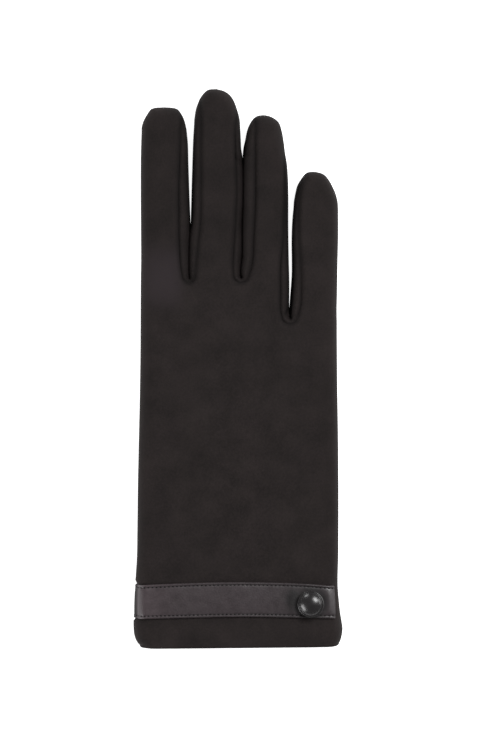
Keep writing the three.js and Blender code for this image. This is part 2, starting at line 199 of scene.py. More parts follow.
# Webs: the middle and the bottom of the U, where it is fully wide, how far up the fingers touch, where the
# two seams run out at the fingers' edges, and the lines of the seams as (above the cuff, x)
webs = [
    {"x": -20.45, "bottom": 153.5, "top": 156.4, "touch": 178.6, "ends": (224.0, 231.3),
     "left": [(156.4, -23.25), (158.5, -23.7), (162, -24.1), (170, -24.5), (180, -24.6), (197, -24.58),
              (205, -24.3), (212, -24.0), (218, -23.7)],
     "right": [(156.4, -17.85), (160, -17.45), (164, -17.0), (168, -16.6), (172, -16.2), (176, -15.78),
               (181, -15.42), (190, -15.33), (214, -15.33), (222.5, -15.35), (227, -15.4)]},
    {"x": 1.6, "bottom": 153.5, "top": 156.3, "touch": 206.8, "ends": (226.0, 223.3),
     "left": [(156.3, -1.7), (158.5, -1.9), (164, -1.85), (170, -1.45), (176, -1.05), (184.6, -0.6),
              (191, -0.3), (198, -0.5), (206, -0.8), (214, -1.0), (219, -0.9)],
     "right": [(156.3, 4.7), (158.5, 5.4), (162, 6.15), (166, 6.5), (172, 6.65), (178, 7.0),
               (186, 7.35), (200, 7.41), (214, 7.5), (219, 7.6)]},
    {"x": 22.0, "bottom": 136.1, "top": 139.0, "touch": 143.6, "ends": (208.5, 198.4),
     "left": [(139.0, 18.6), (141, 18.1), (145, 18.0), (150, 18.0), (157, 17.95), (161, 18.05),
              (165, 18.4), (169, 18.9), (173, 19.3), (178, 19.55), (185, 19.75), (198, 19.7),
              (204, 19.7)],
     "right": [(139.0, 25.1), (141, 25.8), (144, 26.35), (150, 26.75), (156, 26.7), (162, 26.4),
               (168, 26.0), (174, 25.6), (183, 25.55), (189, 25.85), (194, 26.6)]},
]


tipRound = 4.6  # how round the cloth's edge is at every fingertip


def edgeOf(finger, side):
    # One edge from the foot to the top of the tip, as heights and places: the table, then the tip's round
    turn = np.radians(np.arange(0, 91, 1.0) if side else np.arange(180, 89, -1.0))
    reach = curveThrough(np.degrees(turn), np.arange(0, 181, 15), finger["tip"])
    tipX = finger["centre"][0] + reach * np.cos(turn)
    tipUp = np.maximum.accumulate(finger["centre"][1] + reach * np.sin(turn))
    table = np.array(finger["right" if side else "left"] + [(tipUp[0], tipX[0]), (tipUp[4], tipX[4])])
    up = np.append(np.arange(table[0, 0], tipUp[0], 0.5), tipUp[0])
    x = curveThrough(up, table[:, 0], table[:, 1])
    return cuffY + np.concatenate([up, tipUp[1:]]), np.concatenate([x, tipX[1:]])


for finger in fingers:
    finger["edges"] = edgeOf(finger, 0), edgeOf(finger, 1)
    finger["foot"] = cuffY + finger["foot"]
    finger["tipStart"] = cuffY + finger["centre"][1]
    finger["tip"] = finger["edges"][0][0][-1]


def handSides(y):
    # The table's edges, with the left one pressed in where the band passes round it
    up, left, right = np.array(hand["outline"]).T
    pressed = hand["leftDepth"] * nearBand(y, *hand["leftReach"])
    return curveThrough(y - cuffY, up, left) + pressed, curveThrough(y - cuffY, up, right)


def fingerSides(number, y):
    # Edges of a finger, and of the hand below its foot
    finger = fingers[number]
    sides = [np.interp(y, *edge) for edge in finger["edges"]]
    if number == 0:
        sides[0] = np.where(y < finger["foot"], handSides(y)[0], sides[0])
    if number == len(fingers) - 1:
        sides[1] = np.where(y < finger["foot"], handSides(y)[1], sides[1])
    return sides


def fingerRows(number, start):
    # Heights along a finger: even steps, then the sine of even angles round its tip
    finger = fingers[number]
    straight = np.arange(start, finger["tipStart"] - 0.6, 1.4)
    turn = np.linspace(0, np.pi / 2, 17)
    tip = finger["tipStart"] + np.sin(turn) * (finger["tip"] - finger["tipStart"])
    return np.concatenate([straight, tip])


def outlinePath():
    # The outline from the cuff's left end to its right end, with the roundness of the cloth's edge at each
    # point, how much the next finger shades it and whether they touch
    points, carried = [], []

    def add(x, y, *values):
        points.append(np.stack([x, y], axis=1))
        carried.append(np.stack([value + 0 * y for value in values], axis=1))

    rise = np.concatenate([np.arange(cuffY, cuffY + 30, 0.5),
                           np.arange(cuffY + 30, fingers[0]["foot"], 1.0)])
    add(handSides(rise)[0], rise, fingers[0]["rounds"][0], 0, 0)
    for number, finger in enumerate(fingers):
        for side in (0, 1):
            web = number - 1 + side
            inner = web in range(len(webs))
            start = finger["edges"][side][0][0] if inner else finger["foot"]
            y = fingerRows(number, start)
            x = fingerSides(number, y)[side]
            low = finger["rounds"][side]
            roundness = low + (tipRound - low) * ease(finger["tipStart"] - 8, finger["tipStart"] + 3, y)
            order = slice(None) if side == 0 else slice(None, None, -1)
            shaded = (1 - 0.75 * ease(start + 40, finger["tip"] - 4, y)) * inner
            touch = cuffY + webs[web]["touch"] if inner else cuffY
            touching = 1 - ease(touch - 5, touch + 1, y)
            add(x[order], y[order], roundness[order], shaded[order], touching[order])
    fall = np.concatenate([np.arange(fingers[-1]["foot"], cuffY + 10, -1.0),
                           np.arange(cuffY + 10, cuffY - 0.4, -0.5)])
    add(handSides(fall)[1], fall, fingers[-1]["rounds"][1], 0, 0)
    return np.concatenate(points), np.concatenate(carried)


def seamX(web, side, y):
    # Seam beside a web: a quarter of an ellipse round the U, then the table's line, and past its end the
    # finger's edge. side 0 is left of the web.
    form = webs[web]
    bottom, top, ends = cuffY + form["bottom"], cuffY + form["top"], cuffY + form["ends"][side]
    edge = fingerSides(web + side, y)[1 - side]
    last = fingerSides(web + side, np.array([ends]))[1 - side][0]
    table = np.array(form["left" if side == 0 else "right"] + [(form["ends"][side], last)])
    line = curveThrough(y - cuffY, table[:, 0], table[:, 1])
    line = np.minimum(line, edge) if side == 0 else np.maximum(line, edge)
    fall = np.clip((top - y) / (top - bottom), 0, 1)
    inU = form["x"] + (table[0, 1] - form["x"]) * np.sqrt(1 - fall ** 2)
    return np.where(y <= bottom, form["x"], np.where(y < top, inU, np.where(y < ends, line, edge)))


def seamPath(web):
    # Both seams of a web as one line that runs down the left finger, through the U and up the right one
    form = webs[web]
    paths = []
    for side in (0, 1):
        rise = np.linspace(0, np.pi / 2, 13)
        u = cuffY + form["bottom"] + (form["top"] - form["bottom"]) * (1 - np.cos(rise))
        y = np.concatenate([u, np.arange(u[-1] + 1, cuffY + form["ends"][side] - 0.4, 1.0),
                            [cuffY + form["ends"][side]]])
        paths.append(np.stack([seamX(web, side, y), y], axis=1))
    return np.concatenate([paths[0][::-1], paths[1][1:]])


outline, outlineCarried = outlinePath()
seams = [seamPath(web) for web in range(len(webs))]


# Heights of the cloth over and under any point of the plan

# A small pleat beside the web of the ring and little fingers, as (x, above the cuff)
pleat = np.array([(21.8, 143.3), (21.0, 142.2), (20.4, 141.2), (20.05, 139.9)]) + (0, cuffY)

relief = {
    "seamLevel": 5.12,  # the line round the glove between its back and its palm
    "top": 12.15, "mouthTop": 13.4, "mouthLength": 40,  # the back, and how it rises to the mouth
    "crown": 0.55, "crownWidth": 9, "wave": 0.13,
    # the seam grooves' depth and width, and the painted shade that darkens them
    "grooveDepth": 0.8, "grooveWidth": 0.95, "grooveShade": 0.46,
    "shoulder": 0.14, "shoulderAt": 2.1, "shoulderWidth": 0.9,  # the cloth's swelling beside a seam
    "touchLift": 3.6,  # how much less deep a valley is where two fingers touch
    # painted shade in the valleys between the fingers and its fall, and how much darker the fingers are
    "valleyShade": 0.5, "valleyWidth": 1.9, "fingerDark": 0.11,
    # the pleat's depth and width, and the painted shade in its crease
    "pleatDepth": 0.75, "pleatWidth": 0.5, "pleatShade": 0.62,
    "sideRidge": 0.3, "ridgeAt": 1.9, "ridgeWidth": 0.8,  # the seam along the little finger's side
    "held": (0, 2, 5), "heldDrop": 0.22,  # the cloth that the band holds down: its insets and fall
    "thumbGhost": 0.4,  # how much the folded thumb lifts the back
}

thumb = {
    "left": -37.85, "width": 21.0, "length": 57.0, "height": 2.6, "lean": 2.4, "tip": 146.3,
    "tipReach": 12.0, "tipPower": 2.3, "clear": 0.35, "flatness": 0.6,
    "tongue": 23.0, "tongueHeight": 1.1, "tongueNarrower": 2.6,
}
thumbTip = cuffY + thumb["tip"]
thumbFoot = thumbTip - thumb["length"]


def thumbSides(y):
    # The tongue is half an ellipse below the thumb's foot, and the tip a superellipse
    lean = thumb["lean"] * np.clip((y - thumbFoot) / thumb["length"], 0, 1)
    centre = thumb["left"] + thumb["width"] / 2 + lean
    into = np.clip((y - thumbTip + thumb["tipReach"]) / thumb["tipReach"], 0, 1)
    half = thumb["width"] / 2 * (1 - into ** thumb["tipPower"]) ** (1 / thumb["tipPower"])
    below = np.clip((thumbFoot - y) / thumb["tongue"], 0, 1)
    narrower = thumb["tongueNarrower"] * ease(thumbFoot + 2, thumbFoot - 3, y)
    half = (half - narrower) * np.sqrt(1 - below ** 2)
    return centre - half, centre + half


def thumbRows(turns, steps, first):
    # Heights up the thumb: cosines of even angles on the tongue, even steps, and sines at the tip
    turn = np.linspace(0, np.pi / 2, turns)
    reach = thumb["tipReach"]
    return np.concatenate([thumbFoot - thumb["tongue"] * np.cos(turn),
                           np.linspace(thumbFoot + first, thumbTip - reach - 1, steps),
                           thumbTip - reach + reach * np.sin(turn)])


def thumbTall(y, below, above):
    # The tongue's height, which turns into the thumb's between two distances from the thumb's foot
    share = ease(thumbFoot - below, thumbFoot + above, y)
    return thumb["tongueHeight"] + (thumb["height"] - thumb["tongueHeight"]) * share


def thumbPath():
    # Outline of the thumb and its tongue, seen from above
    y = thumbRows(20, 20, 1)
    low, high = thumbSides(y)
    return np.concatenate([np.stack([low, y], 1), np.stack([high, y], 1)[::-1]])


thumbLine = thumbPath()
waves = np.random.default_rng(7).uniform(size=(9, 3))


def rolling(x, y):
    # Slow unevenness of cloth that lies loose: a sum of nine sines
    total = np.zeros(np.shape(x))
    for size, turn, start in waves:
        length, angle = 13 + 34 * size, np.pi * (turn - 0.5) * 0.9
        total = total + np.sin(2 * np.pi * ((x * np.cos(angle) + y * np.sin(angle)) / length + start))
    return total / 3


def surface(x, y, onEdge):
    # Back and palm heights, and a darkening mask: painted shade in the seam grooves, the pleat's crease and
    # the valleys between the fingers, and the fingers a little darker above the webs. The edge is a quarter
    # circle: rise = sqrt(1 - (1 - d/R)^2), with d the distance to the outline and R its roundness. Where two
    # fingers touch it is the parabola 1 - (1 - d/R)^2, which makes a softer valley.
    gap, (roundness, shaded, touching) = distanceTo(x, y, outline, outlineCarried)
    gap = np.where(onEdge, 0, gap)
    near = np.clip(gap / roundness, 0, 1)
    rise = near * (2 - near)
    rise = np.sqrt(rise) * (1 - touching) + rise * touching
    level = relief["seamLevel"] + relief["touchLift"] * touching
    seamGap = np.min([gapTo(x, y, path) for path in seams], axis=0)
    groove = np.exp(-(seamGap / relief["grooveWidth"]) ** 2)
    fold = np.exp(-(gapTo(x, y, pleat) / relief["pleatWidth"]) ** 2)
    held = nearBand(y, *relief["held"])

    # Back: the broad form, then the seams, the pleat and the ridge along the side seam
    mouth = 1 - ease(cuffY, cuffY + relief["mouthLength"], y)
    top = relief["top"] + (relief["mouthTop"] - relief["top"]) * mouth
    top = top + relief["crown"] * (1 - np.exp(-(gap / relief["crownWidth"]) ** 2))
    top = top + relief["wave"] * rolling(x, y) * (1 - 0.8 * held)
    top = top - relief["heldDrop"] * held
    low, high = thumbSides(y)
    overThumb = ease(-5, 4, x - low) * ease(-5, 4, high - x)
    overThumb = overThumb * ease(thumbFoot - 6, thumbFoot + 8, y) * (1 - ease(thumbTip - 9, thumbTip + 4, y))
    top = top + relief["thumbGhost"] * overThumb
    right = np.where(y < fingers[-1]["foot"], handSides(y)[1], fingerSides(len(fingers) - 1, y)[1])
    pucker = 1 + 0.5 * np.sin(y * 2.9 + 2 * np.sin(y * 0.37)) + 0.3 * np.sin(y * 1.13 + 1)
    ridge = np.exp(-((right - x - relief["ridgeAt"]) / relief["ridgeWidth"]) ** 2) * pucker * (x > 20)
    ridge = relief["sideRidge"] * ridge * (1 - held)
    besideSeam = (seamGap - relief["shoulderAt"]) / relief["shoulderWidth"]
    shoulder = relief["shoulder"] * np.exp(-besideSeam ** 2)
    sunk = relief["grooveDepth"] * groove + relief["pleatDepth"] * fold
    back = level + (top - level + shoulder + ridge - sunk) * rise

    # Palm: nearly flat, pressed in by the band and arched over the thumb
    under = 0.06 + 0.1 * np.abs(rolling(x + 20, y))
    under = np.maximum(under, hand["bedDepth"] * nearBand(y, *hand["bedReach"]))
    inside = (x > low) & (x < high) & (y > thumbFoot - thumb["tongue"]) & (y < thumbTip)
    inThumb = np.where(inside, 1, -1) * gapTo(x, y, thumbLine)
    tall = thumbTall(y, 4, 2)
    under = np.maximum(under, (tall + thumb["clear"]) * ease(-0.9 - 0.35 * tall, -0.1, inThumb))
    palm = level - (level - under - 0.5 * relief["grooveDepth"] * groove) * rise

    # Painted shade in the valleys between the fingers, less where they touch, added to the painted shade of
    # the seam grooves and the pleat's crease; and the fingers a little darker above the webs
    valley = relief["valleyShade"] * shaded * (1 - 0.75 * touching)
    valley = valley * np.exp(-(gap / relief["valleyWidth"]) ** 2)
    finger = relief["fingerDark"] * ease(cuffY + 150, cuffY + 172, y) * (1 - 0.6 * ease(21, 25, x))
    return back, palm, relief["grooveShade"] * groove + relief["pleatShade"] * fold + valley + finger


# Trank: four columns of cloth from the cuff to the fingertips, back and palm, with a hem turned in

trankShape = {
    "across": 26, "wall": 1.0, "hemDepth": 24.0, "hemRound": 1.12,
    # rows above the hem's round, closer together at the band's edges
    "cuffRows": [0, 0.5, 1.1, 1.8, 2.6, 3.6, 4.8, 6.2, 7.7, 9.2, 10.2, 11.0, 11.6, 12.2, 12.8, 13.6],
}
across = 0.5 - 0.5 * np.cos(np.pi * np.arange(trankShape["across"] + 1) / trankShape["across"])


def columnSides(number, y):
    # Left and right bounds of a finger's column: the outline, a seam, or a straight line below a web
    bounds = []
    for side, web in ((0, number - 1), (1, number)):
        if web in range(len(webs)):
            bounds.append(seamX(web, 1 - side, y))
        else:
            bounds.append(fingerSides(number, y)[side])
    return bounds


def sharedRows():
    # Row heights of all columns: even steps, and 1 - cos of even angles through each U
    first = cuffY + trankShape["hemRound"]
    rows = np.append(first + np.array(trankShape["cuffRows"]),
                     np.arange(first + 15, cuffY + webs[-1]["bottom"], 1.75))
    turn = 1 - np.cos(np.linspace(0, np.pi / 2, 12))
    for form in webs:
        rows = np.append(rows, cuffY + form["bottom"] + (form["top"] - form["bottom"]) * turn)
    rows = np.append(rows, np.arange(cuffY + webs[-1]["top"] + 1, cuffY + webs[0]["bottom"] - 0.5, 1.3))
    return np.unique(np.round(rows, 4))


def columnGrid(number, rows):
    # Points between the column's bounds in steps of 0.5 - 0.5 cos, and which lie on the outline
    low, high = columnSides(number, rows)
    x = low[:, None] + (high - low)[:, None] * across
    y = np.broadcast_to(rows[:, None], x.shape)
    onEdge = np.zeros(x.shape, bool)
    for column, web, side in ((0, number - 1, 1), (-1, number, 0)):
        inner = web in range(len(webs))
        onEdge[:, column] = rows >= cuffY + webs[web]["ends"][side] if inner else True
    onEdge[rows >= fingers[number]["tip"] - 1e-6] = True
    return x, y, onEdge


def slant(x, y):
    # The cuff's edge rises a little towards the little finger's side
    near = 1 - ease(cuffY, cuffY + hand["slantLength"], y)
    return y + hand["cuffSlant"] * (1 + x / hand["cuffHalf"]) * near


def ringAround(y):
    # Places and heights round the hand, a row for each y: back from left to right, then the palm
    xs = []
    for number in range(len(fingers)):
        low, high = columnSides(number, y)
        xs.append(low[:, None] + (high - low)[:, None] * across[None, (1 if number else 0):])
    x = np.concatenate(xs, axis=1)
    onEdge = np.zeros(x.shape, bool)
    onEdge[:, [0, -1]] = True
    back, palm, dark = surface(x, np.broadcast_to(y[:, None], x.shape), onEdge)
    ringX = np.concatenate([x, x[:, -2:0:-1]], axis=1)
    ringZ = np.concatenate([back, palm[:, -2:0:-1]], axis=1)
    return ringX, ringZ


def inward(ringX, ringZ):
    # Unit normal of a closed ring, towards its inside
    dx = np.roll(ringX, -1, axis=1) - np.roll(ringX, 1, axis=1)
    dz = np.roll(ringZ, -1, axis=1) - np.roll(ringZ, 1, axis=1)
    size = np.maximum(np.hypot(dx, dz), 1e-9)
    return dz / size, -dx / size


def trankMesh():
    # For each finger a column of cloth on the back and one on the palm, then the hem
    points, faces, shade, count = [], [], [], 0
    rows = sharedRows()
    for number, finger in enumerate(fingers):
        lower = rows[rows < finger["tipStart"] - 0.8]
        own = fingerRows(number, lower[-1] + 1.5)
        beside = [(side, web) for side, web in ((1, number - 1), (0, number)) if web in range(len(webs))]
        ends = [cuffY + webs[web]["ends"][side] for side, web in beside]
        heights = np.unique(np.concatenate([lower, own, ends]))
        for palmSide in (False, True):
            x, y, onEdge = columnGrid(number, heights)
            back, palm, dark = surface(x, y, onEdge)
            z, flip = (palm, True) if palmSide else (back, False)
            points.append(np.stack([x, slant(x, y), z], axis=2).reshape(-1, 3))
            faces.append(gridFaces(*x.shape, first=count, flip=flip))
            shade.append(dark.ravel())
            count += x.size
    # Hem: round the cuff's edge on half a circle, then back inside
    turn = np.linspace(0, np.pi, 9)
    radius = trankShape["hemRound"]
    inside = np.linspace(radius, trankShape["hemDepth"], 9)[1:]
    at = np.concatenate([np.full(len(turn), cuffY + radius), cuffY + inside])
    depth = np.concatenate([radius * (1 - np.cos(turn)), np.full(len(inside), 2 * radius)])
    moved = np.concatenate([cuffY + radius * (1 - np.sin(turn)), cuffY + inside])
    ringX, ringZ = ringAround(at)
    normalX, normalZ = inward(ringX, ringZ)
    hemX, hemZ = ringX + normalX * depth[:, None], ringZ + normalZ * depth[:, None]
    hemY = slant(hemX, np.broadcast_to(moved[:, None], hemX.shape))
    points.append(np.stack([hemX, hemY, hemZ], axis=2).reshape(-1, 3))
    faces.append(ringFaces(*hemX.shape, first=count, flip=True))
    shade.append(np.zeros(hemX.size))
    return np.concatenate(points), np.concatenate(faces), np.concatenate(shade)


# Strips between the fingers: each is one surface between its seam and the crevice's edge

stripShape = {
    "across": 14, "along": 56, "wall": 0.95,
    "tuck": 0.06, "tuckFade": 6, "sink": 0.04,  # how its edge goes under the hand's cloth
    "puff": 0.32, "puffWidth": 4.5,
}


def stripGrid(web):
    # Rows run down the left finger, round the U and up the right finger. Each goes from the seam, tucked a
    # little under the hand's cloth, to the crevice's edge, in steps of 0.5 - 0.5 cos of even angles.
    form, tuck = webs[web], stripShape["tuck"]
    top = cuffY + form["top"]
    creviceEnd = fingers[web]["edges"][1][0][0]
    halves = []
    for side in (0, 1):
        ends = cuffY + form["ends"][side]
        up = top + (ends - top) * (1 - (1 - np.linspace(0, 1, stripShape["along"])) ** 1.25)
        shift = (-1, 1)[side] * tuck * np.clip((ends - up) / stripShape["tuckFade"], 0, 1)
        seam = np.stack([seamX(web, side, up) + shift, up], axis=1)
        edge = np.stack([fingerSides(web + side, up)[1 - side], up], axis=1)
        seam[-1] = edge[-1]
        angle = np.linspace(0, np.pi / 2, 13)[1:]
        reach = seam[0][0] - form["x"]
        uSeam = np.stack([form["x"] + reach * np.cos(angle),
                          top - (form["top"] - form["bottom"] + tuck) * np.sin(angle)], axis=1)
        uY = top + (creviceEnd - top) * np.sin(angle)
        uEdge = np.stack([fingerSides(web + side, uY)[1 - side], uY], axis=1)
        halves.append((np.concatenate([seam[::-1], uSeam]), np.concatenate([edge[::-1], uEdge])))
    seam = np.concatenate([halves[0][0], halves[1][0][-2::-1]])
    edge = np.concatenate([halves[0][1], halves[1][1][-2::-1]])
    w = 0.5 - 0.5 * np.cos(np.pi * np.arange(stripShape["across"] + 1) / stripShape["across"])
    grid = seam[:, None, :] + (edge - seam)[:, None, :] * w[:, None]
    show = np.hypot(*(edge - seam).T)[:, None]
    return grid[..., 0], grid[..., 1], w, show


def stripMesh(web):
    # The strip's back, puffed by sin(pi w^0.75) across it, and its palm
    points, faces, shade, count = [], [], [], 0
    for palmSide in (False, True):
        x, y, w, show = stripGrid(web)
        onEdge = np.zeros(x.shape, bool)
        onEdge[:, -1] = True
        onEdge[[0, -1]] = True
        back, palm, dark = surface(x, y, onEdge)
        puff = stripShape["puff"] * np.minimum(show / stripShape["puffWidth"], 1) * np.sin(np.pi * w ** 0.75)
        sunk = stripShape["sink"] * (w == 0) * np.clip(show - 0.5, 0, 1)
        z = palm + sunk if palmSide else back + puff - sunk
        points.append(np.stack([x, y, z], axis=2).reshape(-1, 3))
        faces.append(gridFaces(*x.shape, first=count, flip=not palmSide))
        shade.append(dark.ravel())
        count += x.size
    return np.concatenate(points), np.concatenate(faces), np.concatenate(shade)


# Thumb: a closed tube that lies flat under the palm, and its tongue

def thumbMesh():
    # Each section is a flat oval: half the width and half the height times the cosine and sine of the angle,
    # both to the power of its flatness
    y = thumbRows(14, 22, 1.5)
    low, high = thumbSides(y)
    tall = thumbTall(y, 3, 4) * np.clip((thumbTip + 0.2 - y) / 3.2, 0, 1) ** 0.25
    tall[0] = thumb["tongueHeight"] * 0.5
    angle = np.linspace(0, 2 * np.pi, 28, endpoint=False)
    flatX = np.sign(np.cos(angle)) * np.abs(np.cos(angle)) ** thumb["flatness"]
    flatZ = np.sign(np.sin(angle)) * np.abs(np.sin(angle)) ** thumb["flatness"]
    x = ((low + high) / 2)[:, None] + ((high - low) / 2)[:, None] * flatX
    z = np.maximum(tall / 2, 0.4)[:, None] + (tall / 2)[:, None] * flatZ
    points = np.stack([x, np.broadcast_to(y[:, None], x.shape), z], axis=2).reshape(-1, 3)
    return points, ringFaces(*x.shape)


# Leather band: a flat profile with rolled edges carried round the wrist

band = {
    "across": 30,
    # lower and upper edge as (x, y), and where the ends lie at each of them
    "low": [(-43.5, -104.95), (-20, -104.35), (4, -103.95), (24, -104.3), (41.5, -104.7)],
    "high": [(-43.5, -90.85), (-23, -89.85), (-4, -89.35), (15, -89.5), (28, -89.95), (40.5, -91.0)],
    "endLow": 40.5, "endHigh": 39.9,
    "foldAt": -41.5, "foldWidth": 0.5, "foldDepth": 0.6,
    "ridgeAt": -39.2, "ridgeWidth": 1.5, "ridge": 0.45,
    # the part that turns down at the index side is painted darker, as shade, and made duller
    "turned": (-41.95, -41.1),  # where it turns down at the index side, which is darker and duller
    "dimple": 0.3, "dimpleWidth": 5.2,
    # share of the width, offset from there, height over the cloth
    "profile": [
        (0, 0.0, 0.5), (0, 0.1, 0.86), (0, 0.32, 1.12), (0, 0.6, 1.2), (0, 0.85, 1.12), (0, 1.05, 0.98),
        (0, 1.2, 0.94), (0, 1.38, 0.98), (0, 1.65, 1.06), (0, 2.2, 1.13), (0.28, 0, 1.2),
        (0.42, 0, 1.24), (0.58, 0, 1.24), (0.72, 0, 1.2), (1, -2.2, 1.13), (1, -1.65, 1.06),
        (1, -1.38, 0.98), (1, -1.2, 0.94), (1, -1.05, 0.98), (1, -0.85, 1.12), (1, -0.6, 1.2),
        (1, -0.32, 1.12), (1, -0.1, 0.86), (1, 0.0, 0.5), (1, -0.15, 0.16), (0.5, 0, 0.16),
        (0, 0.15, 0.16),
    ],
}
stitch = {
    "inset": 1.2, "pitch": 1.72, "waver": 0.12, "over": 0.97,
    "halfLength": 0.5, "halfWidth": 0.36, "halfHeight": 0.22, "around": 6, "rings": 5,
}

# Button: a domed cap with a rim and a shank, turned about its own axis
button = {
    "size": 0.965, "tilt": 5.0, "around": 72, "aside": (-0.65, 0.1), "sunk": 0.15,
    # radius, height
    "profile": [
        (0, 0.0), (1.4, 0.0), (2.4, 0.05), (2.4, 0.7), (2.6, 0.92), (3.6, 1.02), (4.7, 1.12),
        (5.35, 1.3), (5.68, 1.55), (5.75, 1.8), (5.66, 2.02), (5.42, 2.16), (5.16, 2.14), (5.02, 2.1),
        (4.9, 2.16), (4.7, 2.42), (4.3, 2.78), (3.7, 3.2), (3.0, 3.58), (2.2, 3.9), (1.4, 4.12),
        (0.7, 4.24), (0, 4.28),
    ],
}
buttonX, buttonY = (buttonBox[0] + buttonBox[1])[:2] / 2 + button["aside"]


def bandRoute(share, offset):
    # Points on the cloth under the band, from its end on the back round the index side to its end on the
    # palm, at a share of the band's width plus an offset, with the outward normal
    u = 0.5 - 0.5 * np.cos(np.pi * np.arange(band["across"] + 1) / band["across"])
    columns = np.repeat(np.arange(len(fingers)), [len(u)] + [len(u) - 1] * (len(fingers) - 1))
    shares = np.concatenate([u] + [u[1:]] * (len(fingers) - 1))
    guess = np.full(len(shares), (bandLow + bandHigh) / 2)

    def planX(y):
        x = np.empty(len(shares))
        for number in range(len(fingers)):
            low, high = columnSides(number, y)
            if number == len(fingers) - 1:
                up = (y - bandLow) / (bandHigh - bandLow)
                high = band["endLow"] + (band["endHigh"] - band["endLow"]) * up
            x = np.where(columns == number, low + (high - low) * shares, x)
        return x

    for _ in range(2):
        x = planX(guess)
        low = curveThrough(x, *np.array(band["low"]).T)
        high = curveThrough(x, *np.array(band["high"]).T)
        guess = low + share * (high - low) + offset
    onEdge = np.zeros(len(x), bool)
    onEdge[0] = True
    back, palm, dark = surface(x, guess, onEdge)
    route = np.concatenate([np.stack([x, guess, back], 1)[::-1], np.stack([x, guess, palm], 1)[1:]])
    step = np.gradient(route[:, [0, 2]], axis=0)
    size = np.maximum(np.hypot(step[:, 0], step[:, 1]), 1e-9)
    normal = np.stack([step[:, 1] / size, np.zeros(len(route)), -step[:, 0] / size], axis=1)
    return route, normal


def bandHeight(route, height):
    # Unevenness of the leather, its fold and ridge at the index side and the dimple round the button
    x, y, z = route.T
    onBack = z > relief["seamLevel"]
    lift = 0.04 * np.sin(x * 0.22 + 1.3) + 0.015 * np.sin(x * 0.93 + y * 0.35)
    lift = lift + 0.012 * np.sin(y * 0.8 + x * 0.21)
    fold = band["foldDepth"] * np.exp(-((x - band["foldAt"]) / band["foldWidth"]) ** 2)
    ridge = band["ridge"] * np.exp(-((x - band["ridgeAt"]) / band["ridgeWidth"]) ** 2)
    reach = np.hypot(x - buttonX, y - buttonY)
    dimple = band["dimple"] * np.exp(-(reach / band["dimpleWidth"]) ** 2)
    dimple = dimple - 0.12 * np.exp(-((reach - 8.2) / 1.6) ** 2)
    return height + ease(0.2, 0.5, height) * (lift + onBack * (ridge - fold - dimple))


def bandShade(route, fromEdge):
    # Painted shade: darker in the stitched grooves, where the band turns down, and beside and round the
    # button, where its shadow falls; and darker away from the index end, which leaves that end lighter as a
    # painted highlight
    x, y, z = route.T
    groove = 0.12 * np.exp(-((fromEdge - stitch["inset"]) / 0.38) ** 2)
    down = 0.9 * (1 - ease(*band["turned"], x))
    # the button's painted shadow on the leather to its left, and a ring of painted shade round it
    beside = 0.75 * np.exp(-((x - buttonX + 7.2) / 3.2) ** 2 - ((y - buttonY - 1.6) / 4.2) ** 2)
    around = 0.45 * np.exp(-((np.hypot(x - buttonX, y - buttonY) - 5.6) / 1.4) ** 2)
    # painted highlight: the band darker away from the index end and again towards the button
    along = 0.36 * ease(-40, -22, x) + 0.12 * ease(0, 24, x)
    onBack = z > relief["seamLevel"]
    return np.clip(groove + along + onBack * (down + np.maximum(beside, around)), 0, 0.92)


def bandMesh():
    # The profile's points, each carried along its own route, with both ends closed
    middle = 9.0  # stands for a point far from the stitches
    rows, shade = [], []
    for share, offset, height in band["profile"]:
        route, normal = bandRoute(share, offset)
        rows.append(route + normal * bandHeight(route, np.full(len(route), height))[:, None])
        shade.append(bandShade(route, abs(offset) if share in (0, 1) else middle))
    grid = np.stack(rows, axis=1)
    count = len(band["profile"])
    faces = list(ringFaces(len(grid), count))
    faces.append(np.arange(count)[::-1])
    faces.append(np.arange(count) + (len(grid) - 1) * count)
    return grid.reshape(-1, 3), faces, np.stack(shade, axis=1)


def stitchMesh():
    # One capsule, its sections sqrt(1 - 0.93 s^2) wide, repeated at nearly even steps along both edges
    around, rings = stitch["around"], stitch["rings"]
    angle = np.linspace(0, 2 * np.pi, around, endpoint=False)
    s = np.linspace(-1, 1, rings)
    wide = np.sqrt(np.clip(1 - s ** 2 * 0.93, 0.04, 1))
    local = np.stack([np.repeat(s * stitch["halfLength"], around),
                      np.outer(wide, np.cos(angle)).ravel() * stitch["halfWidth"],
                      np.outer(wide, np.sin(angle)).ravel() * stitch["halfHeight"]], axis=1)
    ends = [list(range(around))[::-1], [around * (rings - 1) + i for i in range(around)]]
    single = [list(face) for face in ringFaces(rings, around)] + ends
    points, faces, count = [], [], 0

    def along(at, length, values):
        return np.stack([np.interp(at, length, column) for column in values.T], axis=1)

    def unit(vectors):
        return vectors / np.linalg.norm(vectors, axis=1)[:, None]

    for share, offset in ((0, stitch["inset"]), (1, -stitch["inset"])):
        route, normal = bandRoute(share, offset)
        line = route + normal * bandHeight(route, np.full(len(route), stitch["over"]))[:, None]
        length = np.concatenate([[0], np.cumsum(np.linalg.norm(np.diff(line, axis=0), axis=1))])
        at = np.arange(0.9, length[-1] - 0.6, stitch["pitch"])
        at = at + stitch["waver"] * np.sin(at * 7.3)
        centre = along(at, length, line)
        up = unit(along(at, length, normal))
        ahead = unit(along(at + 0.3, length, line) - centre)
        axes = np.stack([ahead, np.cross(up, ahead), up], axis=1)
        placed = centre[:, None, :] + local @ axes
        for number in range(len(at)):
            faces += [[count + number * len(local) + i for i in face] for face in single]
        count += placed.shape[0] * placed.shape[1]
        points.append(placed.reshape(-1, 3))
    return np.concatenate(points), faces


